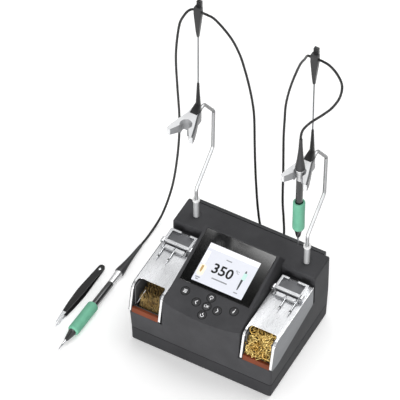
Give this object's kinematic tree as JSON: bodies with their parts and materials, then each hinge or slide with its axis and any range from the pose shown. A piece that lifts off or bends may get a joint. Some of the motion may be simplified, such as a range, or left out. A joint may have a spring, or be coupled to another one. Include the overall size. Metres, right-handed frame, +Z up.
{
  "type": "two-tool soldering station",
  "caption": "Bench soldering station with a tilted display console, cleaning and cartridge trays, swivelling cord arms, pencil handpieces and tweezers.",
  "frame": {"origin": "on the table, under the middle of the housing", "axes": "+Z up, -Y to the user at the display side, +Y to the rear panel, +X to the user's right"},
  "size_m": [0.3158, 0.267, 0.502],
  "materials": {
    "housing": "fine texture, satin",
    "panel": "powder coat",
    "window": "polished",
    "lcd": "lit picture",
    "board": "solder mask",
    "winding": "lacquered copper winding",
    "rubber": "matt",
    "cord": "matt silicone",
    "screw": "zinc plated",
    "black_plastic": "moulded, satin",
    "key": "satin",
    "sleeve": "turned",
    "silicone": "silicone",
    "cup": "moulded",
    "brass": "turned wool and bristles",
    "rod": "bright plated",
    "fork": "satin",
    "spring_wire": "drawn",
    "clip": "moulded",
    "stainless": "brushed sheet",
    "rack": "cast, satin",
    "cartridge": "polished tube",
    "grip": "soft foam",
    "coated_steel": "black coating with bare steel tips"
  },
  "bodies": {
    "housing": {"base": "housing", "upper_housing": "housing", "rear_panel": "panel", "display_window": "window", "lcd_panel": "lcd", "control_board": "board", "transformer": "winding", "feet": "rubber", "case_screws": "screw", "mains_inlet": "black_plastic", "switch_frame": "black_plastic", "tool_sockets": "black_plastic", "sleeve_left": "sleeve", "sleeve_right": "sleeve", "wiper_left": "silicone", "wiper_right": "silicone", "cup_left": "cup", "cup_right": "cup", "brass_brush": "brass", "brass_wool": "brass", "plug_left": "rubber", "plug_right": "rubber", "cord_left": "cord", "cord_right": "cord"},
    "key_menu": {"button_menu": "key"},
    "key_up": {"button_up": "key"},
    "key_left": {"button_left": "key"},
    "key_ok": {"button_ok": "key"},
    "key_right": {"button_right": "key"},
    "key_down": {"button_down": "key"},
    "key_info": {"button_info": "key"},
    "rocker": {"power_switch": "black_plastic"},
    "holder_left": {"arm_left": "rod", "holder_back_left": "black_plastic", "fork_left": "fork", "guide_rod_left": "spring_wire", "cord_clip_left": "clip"},
    "cover_left": {"tray_cover_left": "stainless", "cartridge_rack_left": "rack", "parked_cartridges_left": "cartridge"},
    "holder_right": {"arm_right": "rod", "holder_back_right": "black_plastic", "fork_right": "fork", "guide_rod_right": "spring_wire", "cord_clip_right": "clip"},
    "cover_right": {"tray_cover_right": "stainless", "cartridge_rack_right": "rack", "parked_cartridges_right": "cartridge"},
    "handpiece_right": {"right_cartridge": "cartridge", "right_handle": "black_plastic", "right_grip": "grip", "right_collar": "fork", "right_relief": "rubber"},
    "handpiece_left": {"left_cartridge": "cartridge", "left_handle": "black_plastic", "left_grip": "grip", "left_collar": "fork", "left_relief": "rubber"},
    "tweezers": {"tweezer_arm_low": "coated_steel"},
    "tweezer_top": {"tweezer_arm_top": "coated_steel"}
  },
  "joints": [
    {"name": "press_menu", "type": "slide", "parent": "housing", "child": "key_menu", "axis": [0, 0.284, -0.9588], "range_m": [0, 0.0008], "stiffness_N_per_m": 600, "springref_m": -0.0012},
    {"name": "press_up", "type": "slide", "parent": "housing", "child": "key_up", "axis": [0, 0.284, -0.9588], "range_m": [0, 0.0008], "stiffness_N_per_m": 600, "springref_m": -0.0012},
    {"name": "press_left", "type": "slide", "parent": "housing", "child": "key_left", "axis": [0, 0.284, -0.9588], "range_m": [0, 0.0008], "stiffness_N_per_m": 600, "springref_m": -0.0012},
    {"name": "press_ok", "type": "slide", "parent": "housing", "child": "key_ok", "axis": [0, 0.284, -0.9588], "range_m": [0, 0.0008], "stiffness_N_per_m": 600, "springref_m": -0.0012},
    {"name": "press_right", "type": "slide", "parent": "housing", "child": "key_right", "axis": [0, 0.284, -0.9588], "range_m": [0, 0.0008], "stiffness_N_per_m": 600, "springref_m": -0.0012},
    {"name": "press_down", "type": "slide", "parent": "housing", "child": "key_down", "axis": [0, 0.284, -0.9588], "range_m": [0, 0.0008], "stiffness_N_per_m": 600, "springref_m": -0.0012},
    {"name": "press_info", "type": "slide", "parent": "housing", "child": "key_info", "axis": [0, 0.284, -0.9588], "range_m": [0, 0.0008], "stiffness_N_per_m": 600, "springref_m": -0.0012},
    {"name": "power_rocker", "type": "hinge", "parent": "housing", "child": "rocker", "pos_m": [0.0545, 0.0817, 0.052], "axis": [0, 0, 1], "range_deg": [-10, 0]},
    {"name": "swing_left", "type": "hinge", "parent": "housing", "child": "holder_left", "pos_m": [-0.0784, 0.056, 0.13], "axis": [0, 0, 1], "range_deg": [-30, 30], "deforming": ["cord_left"]},
    {"name": "lift_cover_left", "type": "slide", "parent": "housing", "child": "cover_left", "axis": [0, 0, 1], "range_m": [0, 0.04]},
    {"name": "swing_right", "type": "hinge", "parent": "housing", "child": "holder_right", "pos_m": [0.0784, 0.056, 0.13], "axis": [0, 0, 1], "range_deg": [-30, 30], "deforming": ["cord_right"]},
    {"name": "lift_cover_right", "type": "slide", "parent": "housing", "child": "cover_right", "axis": [0, 0, 1], "range_m": [0, 0.04]},
    {"name": "lift_handpiece_right", "type": "slide", "parent": "holder_right", "child": "handpiece_right", "axis": [0, -0.5, 0.866], "range_m": [0, 0.07], "deforming": ["cord_right"]},
    {"name": "lift_handpiece_left", "type": "slide", "parent": "housing", "child": "handpiece_left", "axis": [0, 0, 1], "range_m": [0, 0.08], "deforming": ["cord_left"]},
    {"name": "lift_tweezers", "type": "slide", "parent": "housing", "child": "tweezers", "axis": [0, 0, 1], "range_m": [0, 0.06]},
    {"name": "squeeze_tweezers", "type": "hinge", "parent": "tweezers", "child": "tweezer_top", "pos_m": [-0.1852, 0.003, 0.0067], "axis": [0.9986, -0.0523, 0], "range_deg": [0, 2.4], "stiffness_Nm_per_rad": 0.8}
  ]
}
